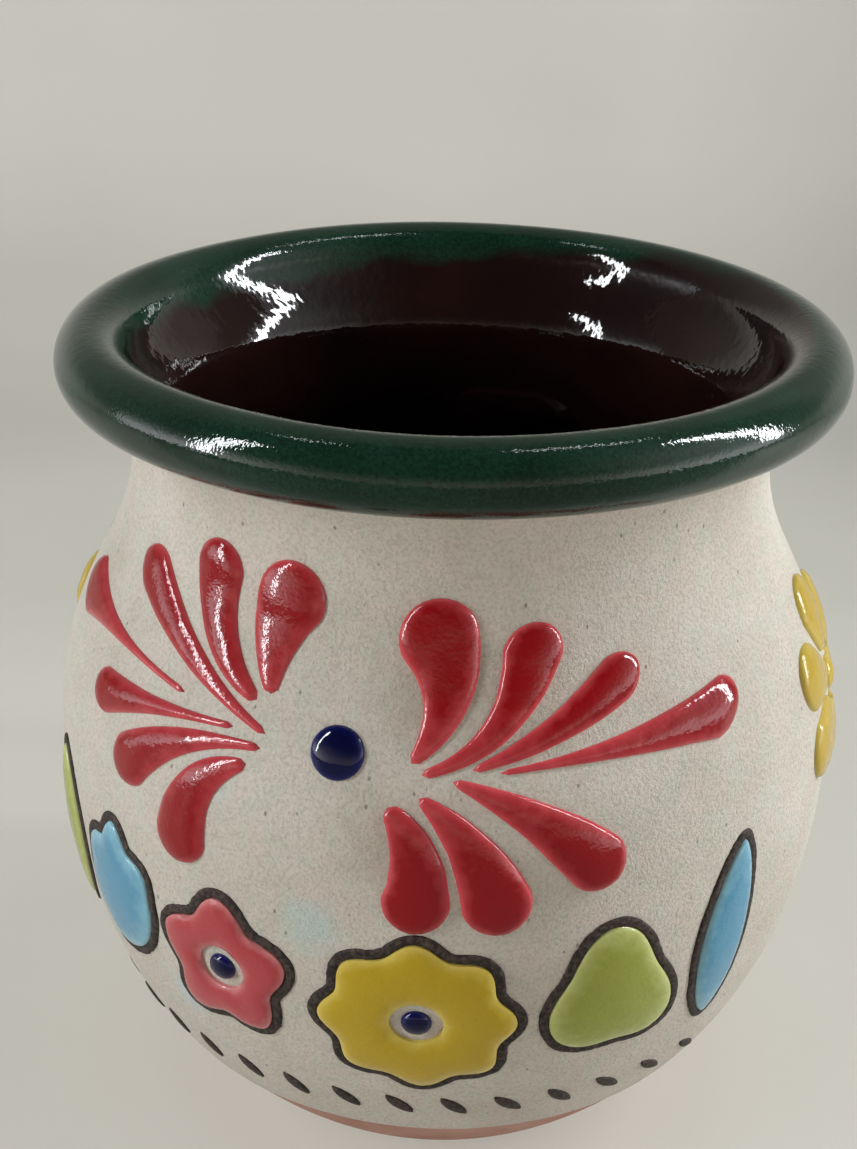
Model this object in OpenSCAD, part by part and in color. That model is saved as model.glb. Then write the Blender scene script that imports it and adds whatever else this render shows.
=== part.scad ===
// A small round-bellied clay mug: thrown body with a rolled rim, a strap handle
// at the back, sandy white slip outside, and raised glaze ornament on the belly.
// The origin is the centre of the flat foot, +Z is up, the handle is on +Y,
// and the blue dot between the two red fans faces -Y.

/* [Body] */
// Height from the table to the top of the rolled rim
height = 105.5; // [96:0.5:116]
// Outer diameter over the rolled rim
rim_d = 95.4; // [90:0.2:104]
// Thickness of the rolled rim, over its glaze
roll_d = 8.6; // [7:0.1:10]
// Outer diameter of the neck, just under the rim
neck_d = 77.8; // [72:0.2:82]
// How far the narrowest line of the neck lies under the roll
neck_drop = 4.9; // [3.5:0.1:8]
// Outer diameter of the belly at its widest line
belly_d = 99; // [92:0.5:108]
// Height of the belly's widest line
belly_z = 52.5; // [46:0.5:58]
// Diameter of the flat foot, before its rounded edge
foot_d = 48; // [40:0.5:56]
// Slope of the wall where it leaves the foot, in degrees
foot_slope = 38; // [28:1:50]
// Length of the rounded edge round the foot
foot_round = 2.4; // [1:0.1:4]
// Thickness of the fired clay wall
wall = 4.2; // [3:0.1:5.5]
// Thickness of the clay floor
floor_t = 6; // [4.5:0.1:8]
// Diameter of the flat part of the floor inside
floor_d = 38; // [28:0.5:46]

/* [Coats] */
// Thickness of the sandy white slip
slip_t = 0.4; // [0.2:0.05:0.8]
// Thickness of the glazes on the rim, the inside and the handle
glaze_t = 0.4; // [0.2:0.05:0.7]
// Height of the bare clay below the slip
bare_foot = 14; // [8:0.5:18]
// Where the rim glaze starts under the roll, in degrees round its section
crease_angle = 238; // [228:1:248]
// Lean of the wall where it runs in under the roll, in degrees
crease_lean = 60; // [50:1:75]
// Where the green glaze ends inside the mouth, in degrees round the roll
green_end_angle = 145; // [110:1:158]

/* [Handle] */
// Clear space between the belly and the inside of the handle
finger_gap = 24; // [18:0.5:32]
// Width of the strap
strap_w = 15; // [11:0.5:19]
// Thickness of the strap
strap_t = 8; // [6:0.1:10]
// How much wider and thicker the strap is where it meets the wall
root_swell = 5; // [1:0.1:7]
// Lift of the strap as it leaves the neck, in degrees
root_rise = 28; // [10:1:45]
// Slant of the strap as it runs down into the belly, in degrees
tail_slant = 30; // [5:1:45]

/* [Ornament] */
// Height of the raised brush strokes at their heads
stroke_relief = 1.1; // [0.5:0.05:1.8]
// Height of the coloured pools of the border
pool_relief = 1; // [0.5:0.05:1.6]
// Height of the dark outlines
line_relief = 0.3; // [0.15:0.05:0.6]
// Width of the dark outlines
line_w = 1.3; // [0.8:0.1:1.5]
// Diameter of the blue dot
dot_d = 6; // [4:0.1:8]
// Turn of each side flower from the blue dot, in degrees
flower_turn = 93.5; // [88:0.5:104]
// Number of petals in a side flower
flower_petals = 6; // [4:1:6]
// Lift of its first petal above the level line to the dot, in degrees
petal_angle = 22; // [0:1:40]
// Number of dark dabs in the row above the foot
dab_count = 15; // [9:2:19]

/* [Hidden] */

// Hairline that keeps one coat of glaze from running into what it lies on
seat = 0.06;
// One overrun for every cut
overrun = 4;

// Shares of the heights and radii that pull the wall's curves
belly_low_share = 0.5;
foot_pull_share = 0.66;
belly_up_share = 0.52;
neck_low_share = 0.43;
neck_up_share = 0.35;
crease_pull_share = 0.35;
floor_pull_share = 0.52;
mouth_pull_share = 0.42;
// Where the inside of the mouth runs off the roll, in degrees round its section
mouth_angle = 165;

// Steps round every revolved piece and along each stretch of the wall
turn_sides = 96;
foot_steps = 4;
bowl_steps = 30;
shoulder_steps = 24;
crease_steps = 5;
roll_steps = 30;
mouth_steps = 8;

foot_r = foot_d / 2;
clay_belly_r = belly_d / 2 - slip_t;
clay_neck_r = neck_d / 2 - slip_t;
roll_r = roll_d / 2;
roll_c = [rim_d / 2 - roll_r, height - roll_r];
clay_roll_r = roll_r - glaze_t;
neck_z = height - roll_d - neck_drop;
in_belly_r = clay_belly_r - wall;
in_neck_r = clay_neck_r - wall;
floor_r = floor_d / 2;

// Points, directions and curves in the plane of the section, as [radius, height]
function heading(a) = [cos(a), sin(a)];
function outward(d) = [d.y, -d.x] / norm(d);
function bezier(c, t) =
    pow(1 - t, 3) * c[0] + 3 * pow(1 - t, 2) * t * c[1] + 3 * (1 - t) * t * t * c[2] + pow(t, 3) * c[3];
function bezier_run(c, t) =
    pow(1 - t, 2) * (c[1] - c[0]) + 2 * (1 - t) * t * (c[2] - c[1]) + t * t * (c[3] - c[2]);
function along(c, steps, first = 0) =
    [for (i = [first:steps]) [bezier(c, i / steps), outward(bezier_run(c, i / steps))]];
function roll_arc(r, from, to, steps) =
    [for (i = [0:steps]) roll_c + r * heading(from + (to - from) * i / steps)];
function sideways(d) = [-d.y, d.x];
function reversed(list) = [for (i = [len(list) - 1:-1:0]) list[i]];
function after_first(list) = [for (i = [1:len(list) - 1]) list[i]];

// The outside of the clay: rounded foot edge, bowl, shoulder, and the run in under the roll
foot_edge = [foot_r, 0] + foot_round * heading(foot_slope);
belly_at = [clay_belly_r, belly_z];
neck_at = [clay_neck_r, neck_z];
crease_at = roll_c + clay_roll_r * heading(crease_angle);
foot_curve = [[foot_r - foot_round, 0], [foot_r, 0], [foot_r, 0], foot_edge];
bowl_curve = [foot_edge,
              foot_edge + foot_pull_share * (clay_belly_r - foot_r) * heading(foot_slope),
              [clay_belly_r, belly_z * (1 - belly_low_share)],
              belly_at];
shoulder_curve = [belly_at,
                  [clay_belly_r, belly_z + belly_up_share * (neck_z - belly_z)],
                  [clay_neck_r, neck_z - neck_low_share * (neck_z - belly_z)],
                  neck_at];
crease_curve = [neck_at,
                [clay_neck_r, neck_z + neck_up_share * (crease_at.y - neck_z)],
                crease_at - crease_pull_share * (crease_at.y - neck_z) * heading(crease_lean),
                crease_at];
wall_run = concat(along(bowl_curve, bowl_steps), along(shoulder_curve, shoulder_steps, 1),
                  along(crease_curve, crease_steps, 1));
function wall_line(off) = [for (s = wall_run) s[0] + off * s[1]];

// The inside of the clay: from the middle of the floor up to the mouth
mouth_at = roll_c + clay_roll_r * heading(mouth_angle);
mouth_h = mouth_at.y - neck_z;
floor_curve = [[floor_r, floor_t],
               [floor_r + floor_pull_share * (in_belly_r - floor_r), floor_t],
               [in_belly_r, belly_z - belly_low_share * (belly_z - floor_t)],
               [in_belly_r, belly_z]];
in_neck_curve = [[in_belly_r, belly_z],
                 [in_belly_r, belly_z + belly_up_share * (neck_z - belly_z)],
                 [in_neck_r, neck_z - neck_low_share * (neck_z - belly_z)],
                 [in_neck_r, neck_z]];
mouth_curve = [[in_neck_r, neck_z],
               [in_neck_r, neck_z + mouth_pull_share * mouth_h],
               mouth_at - mouth_pull_share * mouth_h * heading(mouth_angle - 90),
               mouth_at];
cup_run = concat(along(floor_curve, bowl_steps), along(in_neck_curve, shoulder_steps, 1),
                 along(mouth_curve, mouth_steps, 1));
function cup_line(off) = [for (s = cup_run) s[0] - off * s[1]];

// Round the roll: under the rim, over the top, and down inside to the mouth
green_end = 360 + green_end_angle;
function rim_arc(r, from) = roll_arc(r, from, green_end, roll_steps);
function lip_arc(r) = roll_arc(r, green_end, 360 + mouth_angle, crease_steps);

// Length along the slip's own surface from the belly line, up or down
slip_line = wall_line(slip_t);
slip_end = slip_line[len(slip_line) - 1];
function runs(list) =
    [for (i = 0, s = 0; i < len(list); s = s + (i + 1 < len(list) ? norm(list[i + 1] - list[i]) : 0), i = i + 1) s];
slip_runs = runs(slip_line);
function table(k) = [for (i = [0:len(slip_runs) - 1]) [slip_runs[i] - slip_runs[bowl_steps], k[i]]];
r_table = table([for (p = slip_line) p.x]);
z_table = table([for (p = slip_line) p.y]);
nr_table = table([for (s = wall_run) s[1].x]);
nz_table = table([for (s = wall_run) s[1].y]);
shoulder_arc = slip_runs[bowl_steps + shoulder_steps] - slip_runs[bowl_steps];
bowl_arc = slip_runs[bowl_steps];

// A flat place (round the wall, up the wall, above the slip) wrapped onto the belly
function wrapped(p, h, turn = 0) =
    let (r = lookup(p.y, r_table), a = turn + p.x / r * 180 / PI, out = r + h * lookup(p.y, nr_table))
    [out * sin(a), -out * cos(a), lookup(p.y, z_table) + h * lookup(p.y, nz_table)];

// A skin over rings of equal counts: closed on itself, or ended at two points
module skin(rings, ends = []) {
    n = len(rings[0]);
    m = len(rings);
    loops = len(ends) == 0 ? m : m - 1;
    sides = [for (i = [0:loops - 1], j = [0:n - 1])
        let (a = i * n, b = (i + 1) % m * n, k = (j + 1) % n)
        each [[a + j, b + j, b + k], [a + j, b + k, a + k]]];
    caps = len(ends) == 0 ? [] : [for (j = [0:n - 1])
        let (k = (j + 1) % n)
        each [[m * n, j, k], [m * n + 1, (m - 1) * n + k, (m - 1) * n + j]]];
    polyhedron([for (ring = rings) each ring, for (p = ends) p], concat(sides, caps));
}

// Solid of the wall out to a given offset, used to trim what lands on it
module wall_plug(off) {
    line = wall_line(off);
    rotate_extrude($fn = turn_sides)
        polygon(concat([[0, 0], [foot_r - foot_round, 0]], line, [[0, line[len(line) - 1].y]]));
}

module clay_body() {
    foot_line = [for (s = along(foot_curve, foot_steps)) s[0]];
    color("#b08878") rotate_extrude($fn = turn_sides)
        polygon(concat([[0, 0]],
                       foot_line,
                       after_first(wall_line(0)),
                       after_first(rim_arc(clay_roll_r, crease_angle)),
                       after_first(lip_arc(clay_roll_r)),
                       after_first(reversed(cup_line(0))),
                       [[0, floor_t]]));
}

// The slip runs from the bare foot up to the crease under the roll
module slip_coat() {
    color("#cfcbbf") difference() {
        rotate_extrude($fn = turn_sides)
            polygon(concat(wall_line(0), reversed(slip_line)));
        translate([0, 0, -overrun]) cylinder(h = bare_foot + overrun, r = belly_d, $fn = turn_sides);
        strap(seat);
    }
}

module rim_glaze() {
    slip_angle = 360 + atan2(slip_end.y - roll_c.y, slip_end.x - roll_c.x);
    color("#24463a") rotate_extrude($fn = turn_sides)
        polygon(concat([crease_at, slip_end],
                       rim_arc(roll_r, slip_angle),
                       reversed(after_first(rim_arc(clay_roll_r, crease_angle)))));
}

module liner_glaze() {
    color("#1b1011") rotate_extrude($fn = turn_sides)
        polygon(concat(lip_arc(clay_roll_r),
                       after_first(reversed(cup_line(0))),
                       [[0, floor_t], [0, floor_t + glaze_t]],
                       cup_line(glaze_t),
                       after_first(reversed(lip_arc(roll_r)))));
}

// The strap: a pulled clay handle that swells where it is joined to the wall
top_root_share = 0.72;
low_root_share = -0.36;
bow_height_share = 0.62;
strap_pull_share = 0.55;
root_length_share = 0.22;
root_sink_share = 0.9;
strap_square_share = 0.8;
strap_steps = 24;
strap_sides = 16;
root_sink = root_sink_share * strap_t;
top_v = top_root_share * shoulder_arc;
low_v = low_root_share * bowl_arc;
top_at = [lookup(top_v, r_table), lookup(top_v, z_table)] - root_sink * heading(root_rise);
low_at = [lookup(low_v, r_table), lookup(low_v, z_table)] - root_sink * heading(tail_slant);
bow_at = [belly_d / 2 + finger_gap + strap_t / 2, low_at.y + bow_height_share * (top_at.y - low_at.y)];
upper_strap = [top_at,
               top_at + strap_pull_share * (bow_at.x - top_at.x) * heading(root_rise),
               bow_at + [0, strap_pull_share * (top_at.y - bow_at.y) * (1 + sin(root_rise))],
               bow_at];
lower_strap = [bow_at,
               bow_at - [0, strap_pull_share * (bow_at.y - low_at.y)],
               low_at + strap_pull_share * (bow_at.x - low_at.x) * heading(tail_slant),
               low_at];
function swell(s) = root_swell * pow(max(0, 1 - min(s, 1 - s) / root_length_share), 2);
function squared(x) = sign(x) * pow(abs(x), strap_square_share);

module strap(off = 0) {
    run = concat(along(upper_strap, strap_steps / 2), along(lower_strap, strap_steps / 2, 1));
    rings = [for (i = [0:strap_steps])
        let (w = (strap_w + swell(i / strap_steps)) / 2 + off,
             t = (strap_t + swell(i / strap_steps)) / 2 + off)
        [for (j = [0:strap_sides - 1])
            let (a = j * 360 / strap_sides, c = run[i][0] + run[i][1] * t * squared(sin(a)))
            [w * squared(cos(a)), c.x, c.y]]];
    skin(rings, [for (k = [-1, 1])
        let (s = run[k < 0 ? 0 : strap_steps], p = s[0] + k * off * sideways(s[1]))
        [0, p.x, p.y]]);
}

module strap_handle() {
    color("#b08878") difference() {
        strap();
        wall_plug(0);
    }
}

module handle_glaze() {
    color("#24463a") difference() {
        strap(glaze_t);
        strap();
        wall_plug(slip_t + seat);
    }
}

// A brush stroke of thick glaze: a thin tail that swells along a bent spine to a round head.
// A row holds its tail u, tail v, head u, head v, bow, head width, tail width and the power
// of its swelling, all as shares of the shoulder and measured from the middle of its fan.
left_fan_shares = [
    [-0.270,  0.057, -0.885,  0.120, -0.02, 0.160, 0.018, 3.0],
    [ 0.010,  0.025, -0.470,  0.310,  0.08, 0.155, 0.022, 1.5],
    [-0.030,  0.105, -0.200,  0.410,  0.32, 0.160, 0.024, 0.7],
    [ 0.010,  0.130,  0.035,  0.385,  0.16, 0.205, 0.028, 0.8],
    [-0.090,  0.020, -0.615, -0.060, -0.04, 0.120, 0.018, 1.9],
    [ 0.000, -0.015, -0.460, -0.190, -0.17, 0.150, 0.022, 1.5],
    [-0.038, -0.066, -0.245, -0.322, -0.33, 0.175, 0.022, 0.8]];
right_fan_shares = [
    [-0.020,  0.008,  0.010,  0.330, -0.33, 0.210, 0.024, 0.9],
    [ 0.010, -0.020,  0.258,  0.285, -0.33, 0.165, 0.026, 1.35],
    [ 0.140, -0.005,  0.500,  0.190, -0.08, 0.142, 0.018, 1.1],
    [ 0.210, -0.014,  0.860,  0.040,  0.02, 0.160, 0.016, 1.7],
    [ 0.092, -0.034,  0.495, -0.278,  0.10, 0.172, 0.018, 1.0],
    [ 0.010, -0.080,  0.230, -0.370,  0.17, 0.195, 0.022, 0.9],
    [-0.070, -0.110,  0.018, -0.372,  0.24, 0.185, 0.028, 0.7]];
fan_place_share = [0.215, 0.415];
dot_place_share = [0, 0.43];
fan_spread_share = 0.418;
stroke_across_shares = [-1, -0.65, 0, 0.65, 1];
stroke_back_shares = [1, 0.5, 0, -0.5, -1];
stroke_edge_share = 0.14;
stroke_tail_power_share = 0.6;
stroke_steps = 8;
cap_steps = 3;

function cap_angle(i, steps) = 90 * max(0, i - steps) / (cap_steps + 1);
// Strokes keep their share of the belly's girth across, and of the shoulder up the wall
function spread(p) = [p.x * fan_spread_share * belly_d, p.y * shoulder_arc];
// Middle, direction and width of a stroke at one of its steps; past its head it rounds off
function station(row, i, steps) =
    let (a = [row[0], row[1]], b = [row[2], row[3]], t = min(1, i / steps),
         c = (a + b) / 2 + row[4] * sideways(b - a),
         run = (1 - t) * (c - a) + t * (b - c), d = run / norm(run),
         q = cap_angle(i, steps))
    [(1 - t) * (1 - t) * a + 2 * (1 - t) * t * c + t * t * b + row[5] / 2 * sin(q) * d,
     d,
     (row[6] + (row[5] - row[6]) * pow(t, row[7])) * cos(q)];

module stroke(row, at, turn = 0, steps = stroke_steps, relief = stroke_relief) {
    last = steps + cap_steps;
    stations = [for (i = [0:last]) station(row, i, steps)];
    function place(s, x) = spread(at + s[0] + x * s[2] / 2 * sideways(s[1]));
    function rise(s) = relief * pow(s[2] / row[5], stroke_tail_power_share);
    function dome(x) = stroke_edge_share + (1 - stroke_edge_share) * sqrt(1 - x * x);
    rings = [for (s = stations)
        concat([for (x = stroke_across_shares) wrapped(place(s, x), seat + rise(s) * dome(x), turn)],
               [for (x = stroke_back_shares) wrapped(place(s, x), seat, turn)])];
    tail = spread(at + stations[0][0] - row[6] / 2 * stations[0][1]);
    head = spread(at + stations[last][0] + row[5] / 2 * (1 - sin(cap_angle(last, steps))) * stations[last][1]);
    skin(rings, [for (p = [tail, head]) wrapped(p, seat + relief * stroke_edge_share / 2, turn)]);
}

module left_fan() {
    color("#a8262e") for (row = left_fan_shares)
        stroke(row, [-fan_place_share.x, fan_place_share.y]);
}

module right_fan() {
    color("#a8262e") for (row = right_fan_shares)
        stroke(row, fan_place_share);
}

// The yellow flowers at the sides: each petal is a broad stroke that points outwards, and the
// first one points a little above the blue dot. The row holds the petal's tail, head, bow,
// widths and power.
flower_rise_share = 0.25;
petal_shares = [0.09, 0.235, 0, 0.21, 0.05, 0.6];
petal_steps = 5;
module side_flowers() {
    color("#d8bc3c") for (side = [-1, 1], k = [0:flower_petals - 1])
        let (a = petal_angle + k * 360 / flower_petals, d = [-side * cos(a), sin(a)],
             row = concat(petal_shares[0] * d, petal_shares[1] * d, [for (i = [2:5]) petal_shares[i]]))
        stroke(row, [0, flower_rise_share], side * flower_turn, petal_steps);
}

// A domed pool of glaze inside an outline that is given about its own middle
pool_top_shares = [1, 0.9, 0.66, 0.3];
pool_back_shares = [0.3, 0.66, 1];
drop_top_shares = [1, 0.85, 0.5];
dab_top_shares = [1, 0.6];
small_back_shares = [1];
pool_edge_share = 0.3;
function pool_dome(f) = pool_edge_share + (1 - pool_edge_share) * sqrt(1 - f * f);
module pool(outline, at, turn = 0, relief = pool_relief, tops = pool_top_shares, backs = pool_back_shares) {
    rings = concat([for (f = backs) [for (p = outline) wrapped(at + f * p, seat, turn)]],
                   [for (f = tops) [for (p = outline) wrapped(at + f * p, seat + relief * pool_dome(f), turn)]]);
    skin(rings, [for (h = [0, relief]) wrapped(at, seat + h, turn)]);
}
// The same with a round hole in its middle
ring_top_shares = [1, 0.85, 0.5, 0.15, 0];
ring_back_shares = [0, 0.5, 1];
module ring_pool(outline, hole_r, at, relief = pool_relief) {
    function between(p, f) = at + hole_r * p / norm(p) * (1 - f) + p * f;
    rings = concat([for (f = ring_back_shares) [for (p = outline) wrapped(between(p, f), seat)]],
                   [for (f = ring_top_shares) [for (p = outline)
                       wrapped(between(p, f), seat + relief * pool_dome(2 * f - 1))]]);
    skin(rings);
}
// A low dark line that runs round the outside of an outline
line_corner_shares = [[0, 0], [1, 0], [1, 1], [0, 1]];
module rim_line(outline, at) {
    n = len(outline);
    out = [for (i = [0:n - 1]) outward(outline[(i + 1) % n] - outline[(i + n - 1) % n])];
    skin([for (k = line_corner_shares)
        [for (i = [0:n - 1])
            wrapped(at + outline[i] + out[i] * (seat + k.x * line_w), seat + k.y * line_relief)]]);
}

// Outlines about their own middles
function disc(r, n) = [for (i = [0:n - 1]) r * heading(i * 360 / n)];
function petalled(r, lobes, depth, stretch, n) =
    [for (i = [0:n - 1])
        let (a = i * 360 / n, p = r * (1 - depth / 2 + depth / 2 * cos(lobes * (a - 90))) * heading(a))
        [p.x, p.y * stretch]];
function tulip(r, tip, stretch, n) =
    [for (i = [0:n - 1])
        let (a = i * 360 / n, p = (r + tip * max(0, sin(a)) * cos(6 * (a - 90))) * heading(a))
        [p.x, p.y * stretch]];
leaf_point_share = 0.4;
function leaf(l, w, lean, n) =
    [for (i = [0:n - 1])
        let (a = i * 360 / n, y = l / 2 * sin(a), x = w / 2 * cos(a) * pow(abs(cos(a)), leaf_point_share))
        [x * cos(lean) - y * sin(lean), x * sin(lean) + y * cos(lean)]];

// The border's motifs. Places and sizes are shares of the bowl's arc. A leaf's row holds middle u,
// middle v, length and width; a blossom's holds middle u, middle v and radius, then the depth
// of its lobes and its height over its width.
green_leaf_shares = [-0.80, -0.16, 0.38, 0.13];
blue_leaf_shares = [0.825, -0.18, 0.44, 0.12];
green_leaf_lean = 8;
blue_leaf_lean = -10;
blue_tulip_shares = [-0.545, -0.175, 0.117, 0.0156, 1.25];
red_blossom_shares = [-0.235, -0.215, 0.15, 0.24, 1.12];
yellow_blossom_shares = [0.165, -0.255, 0.195, 0.13, 1];
green_clover_shares = [0.555, -0.23, 0.145, 0.26, 1.2];
red_lobes = 5;
yellow_lobes = 8;
clover_lobes = 3;
hole_share = 0.05;
heart_share = 0.03;
function middle(row) = [row[0], row[1]] * bowl_arc;
function leaf_outline(row, lean) = leaf(row[2] * bowl_arc, row[3] * bowl_arc, lean, 24);
function lobed_outline(row, lobes, n) = petalled(row[2] * bowl_arc, lobes, row[3], row[4], n);
green_leaf = leaf_outline(green_leaf_shares, green_leaf_lean);
blue_leaf = leaf_outline(blue_leaf_shares, blue_leaf_lean);
blue_tulip = tulip(blue_tulip_shares[2] * bowl_arc, blue_tulip_shares[3] * bowl_arc, blue_tulip_shares[4], 36);
red_blossom = lobed_outline(red_blossom_shares, red_lobes, 40);
yellow_blossom = lobed_outline(yellow_blossom_shares, yellow_lobes, 48);
green_clover = lobed_outline(green_clover_shares, clover_lobes, 30);

module border_green() {
    color("#8fa648") {
        pool(green_leaf, middle(green_leaf_shares));
        pool(green_clover, middle(green_clover_shares));
    }
}

module border_blue() {
    color("#6bafcb") {
        pool(blue_tulip, middle(blue_tulip_shares));
        pool(blue_leaf, middle(blue_leaf_shares));
    }
}

module border_red() {
    color("#c4525a") ring_pool(red_blossom, hole_share * bowl_arc, middle(red_blossom_shares));
}

module border_yellow() {
    color("#c9b232") ring_pool(yellow_blossom, hole_share * bowl_arc, middle(yellow_blossom_shares));
}

module border_outlines() {
    color("#2a1e1b") {
        rim_line(green_leaf, middle(green_leaf_shares));
        rim_line(blue_tulip, middle(blue_tulip_shares));
        rim_line(red_blossom, middle(red_blossom_shares));
        rim_line(yellow_blossom, middle(yellow_blossom_shares));
        rim_line(green_clover, middle(green_clover_shares));
        rim_line(blue_leaf, middle(blue_leaf_shares));
    }
}

// Round drops of glaze: the blue dot, and the hearts of the blossoms and side flowers
flower_heart_share = 0.05;
dot_sides = 24;
heart_sides = 12;
module centre_dot() {
    color("#1c2550") pool(disc(dot_d / 2, dot_sides), dot_place_share * shoulder_arc, 0, pool_relief,
                          pool_top_shares, small_back_shares);
}

module blossom_hearts() {
    color("#1c2550") for (row = [red_blossom_shares, yellow_blossom_shares])
        pool(disc(heart_share * bowl_arc, heart_sides), middle(row), 0, pool_relief,
             drop_top_shares, small_back_shares);
}

module flower_hearts() {
    color("#c9b232") for (side = [-1, 1])
        pool(disc(flower_heart_share * shoulder_arc, heart_sides), [0, flower_rise_share * shoulder_arc],
             side * flower_turn, pool_relief, drop_top_shares, small_back_shares);
}

// A row of small slanted dabs above the foot. The shares are its place up the bowl,
// the space from dab to dab, and a dab's length and width.
dab_row_share = -0.545;
dab_apart_share = 0.11;
dab_size_share = [0.085, 0.032];
dab_lean = 35;
dab_sides = 8;
module foot_dabs() {
    color("#2a1e1b") for (k = [0:dab_count - 1])
        pool(leaf(dab_size_share.x * bowl_arc, dab_size_share.y * bowl_arc, dab_lean, dab_sides),
             [(k - (dab_count - 1) / 2) * dab_apart_share, dab_row_share] * bowl_arc,
             0, line_relief, dab_top_shares, small_back_shares);
}

clay_body();
strap_handle();
slip_coat();
rim_glaze();
liner_glaze();
handle_glaze();
left_fan();
right_fan();
centre_dot();
side_flowers();
flower_hearts();
border_green();
border_blue();
border_red();
border_yellow();
blossom_hearts();
border_outlines();
foot_dabs();
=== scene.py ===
# A small round-bellied clay mug on a pale table: a thrown body with a rolled green rim,
# sandy slip, raised strokes and pools of glaze, and a pulled strap handle at the back.

import bisect
import math

import bmesh
import bpy
from mathutils import Matrix, Vector, noise


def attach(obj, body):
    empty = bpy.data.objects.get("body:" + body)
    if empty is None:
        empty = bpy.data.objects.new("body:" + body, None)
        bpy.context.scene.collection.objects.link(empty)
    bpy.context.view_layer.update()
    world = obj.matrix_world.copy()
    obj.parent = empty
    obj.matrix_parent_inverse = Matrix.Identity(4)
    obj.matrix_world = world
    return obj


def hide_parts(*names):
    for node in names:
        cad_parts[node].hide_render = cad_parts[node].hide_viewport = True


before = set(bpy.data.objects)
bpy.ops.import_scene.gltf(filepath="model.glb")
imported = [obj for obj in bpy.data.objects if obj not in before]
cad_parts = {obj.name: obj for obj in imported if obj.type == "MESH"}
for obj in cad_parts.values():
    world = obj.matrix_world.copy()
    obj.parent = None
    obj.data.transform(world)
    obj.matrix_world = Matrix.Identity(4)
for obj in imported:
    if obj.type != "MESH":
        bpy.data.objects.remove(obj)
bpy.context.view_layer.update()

MM = 0.001

# Driving sizes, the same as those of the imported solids
height = 105.5 * MM
rim_r = 47.7 * MM
roll_r = 4.3 * MM
neck_r = 38.9 * MM
neck_drop = 4.9 * MM
belly_r = 49.5 * MM
belly_z = 52.5 * MM
foot_r = 24 * MM
foot_slope = 38
foot_round = 2.4 * MM
wall = 4.2 * MM
floor_t = 6 * MM
floor_r = 19 * MM
slip_t = 0.4 * MM
glaze_t = 0.4 * MM
bare_foot = 14 * MM
crease_angle = 238
crease_lean = 60
green_end_angle = 145
mouth_angle = 165
seat = 0.06 * MM

# Shares of the heights and radii that pull the wall's curves
belly_low_share = 0.5
foot_pull_share = 0.66
belly_up_share = 0.52
neck_low_share = 0.43
neck_up_share = 0.35
crease_pull_share = 0.35
floor_pull_share = 0.52
mouth_pull_share = 0.42

# Steps along the curves of the section, and round the pot
foot_steps = 8
bowl_steps = 72
shoulder_steps = 60
crease_steps = 12
floor_steps = 60
in_neck_steps = 50
mouth_steps = 20
clay_roll_steps = 40
rim_roll_steps = 72
under_roll_steps = 60
lip_steps = 6
slip_steps = 130
pot_sides = 192


# Points and directions in the plane of the section, as (radius, height)
def heading(degrees):
    return Vector((math.cos(math.radians(degrees)), math.sin(math.radians(degrees))))


def bezier(curve, t):
    a, b, c, d = curve
    return (1 - t) ** 3 * a + 3 * (1 - t) ** 2 * t * b + 3 * (1 - t) * t * t * c + t ** 3 * d


def bezier_run(curve, t):
    a, b, c, d = curve
    return (1 - t) ** 2 * (b - a) + 2 * (1 - t) * t * (c - b) + t * t * (d - c)


def outward(run):
    return Vector((run.y, -run.x)).normalized()


# Places along a curve with the direction that leads out of the clay
def along(curve, steps, first=0):
    shares = [i / steps for i in range(first, steps + 1)]
    return [(bezier(curve, t), outward(bezier_run(curve, t))) for t in shares]


def roll_arc(radius, start, end, steps):
    return [roll_c + radius * heading(start + (end - start) * i / steps) for i in range(steps + 1)]


def smooth_step(low, high, x):
    t = min(1, max(0, (x - low) / (high - low)))
    return t * t * (3 - 2 * t)


clay_belly_r = belly_r - slip_t
clay_neck_r = neck_r - slip_t
clay_roll_r = roll_r - glaze_t
roll_c = Vector((rim_r - roll_r, height - roll_r))
neck_z = height - 2 * roll_r - neck_drop
foot_edge = Vector((foot_r, 0)) + foot_round * heading(foot_slope)
belly_at = Vector((clay_belly_r, belly_z))
neck_at = Vector((clay_neck_r, neck_z))
crease_at = roll_c + clay_roll_r * heading(crease_angle)
mouth_at = roll_c + clay_roll_r * heading(mouth_angle)

foot_curve = [Vector((foot_r - foot_round, 0)), Vector((foot_r, 0)), Vector((foot_r, 0)), foot_edge]
bowl_curve = [foot_edge,
              foot_edge + foot_pull_share * (clay_belly_r - foot_r) * heading(foot_slope),
              Vector((clay_belly_r, belly_z * (1 - belly_low_share))),
              belly_at]
shoulder_curve = [belly_at,
                  Vector((clay_belly_r, belly_z + belly_up_share * (neck_z - belly_z))),
                  Vector((clay_neck_r, neck_z - neck_low_share * (neck_z - belly_z))),
                  neck_at]
crease_curve = [neck_at,
                neck_at + Vector((0, neck_up_share * (crease_at.y - neck_z))),
                crease_at - crease_pull_share * (crease_at.y - neck_z) * heading(crease_lean),
                crease_at]
in_belly_r = clay_belly_r - wall
in_neck_r = clay_neck_r - wall
mouth_h = mouth_at.y - neck_z
floor_curve = [Vector((floor_r, floor_t)),
               Vector((floor_r + floor_pull_share * (in_belly_r - floor_r), floor_t)),
               Vector((in_belly_r, belly_z - belly_low_share * (belly_z - floor_t))),
               Vector((in_belly_r, belly_z))]
in_neck_curve = [Vector((in_belly_r, belly_z)),
                 Vector((in_belly_r, belly_z + belly_up_share * (neck_z - belly_z))),
                 Vector((in_neck_r, neck_z - neck_low_share * (neck_z - belly_z))),
                 Vector((in_neck_r, neck_z))]
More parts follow.
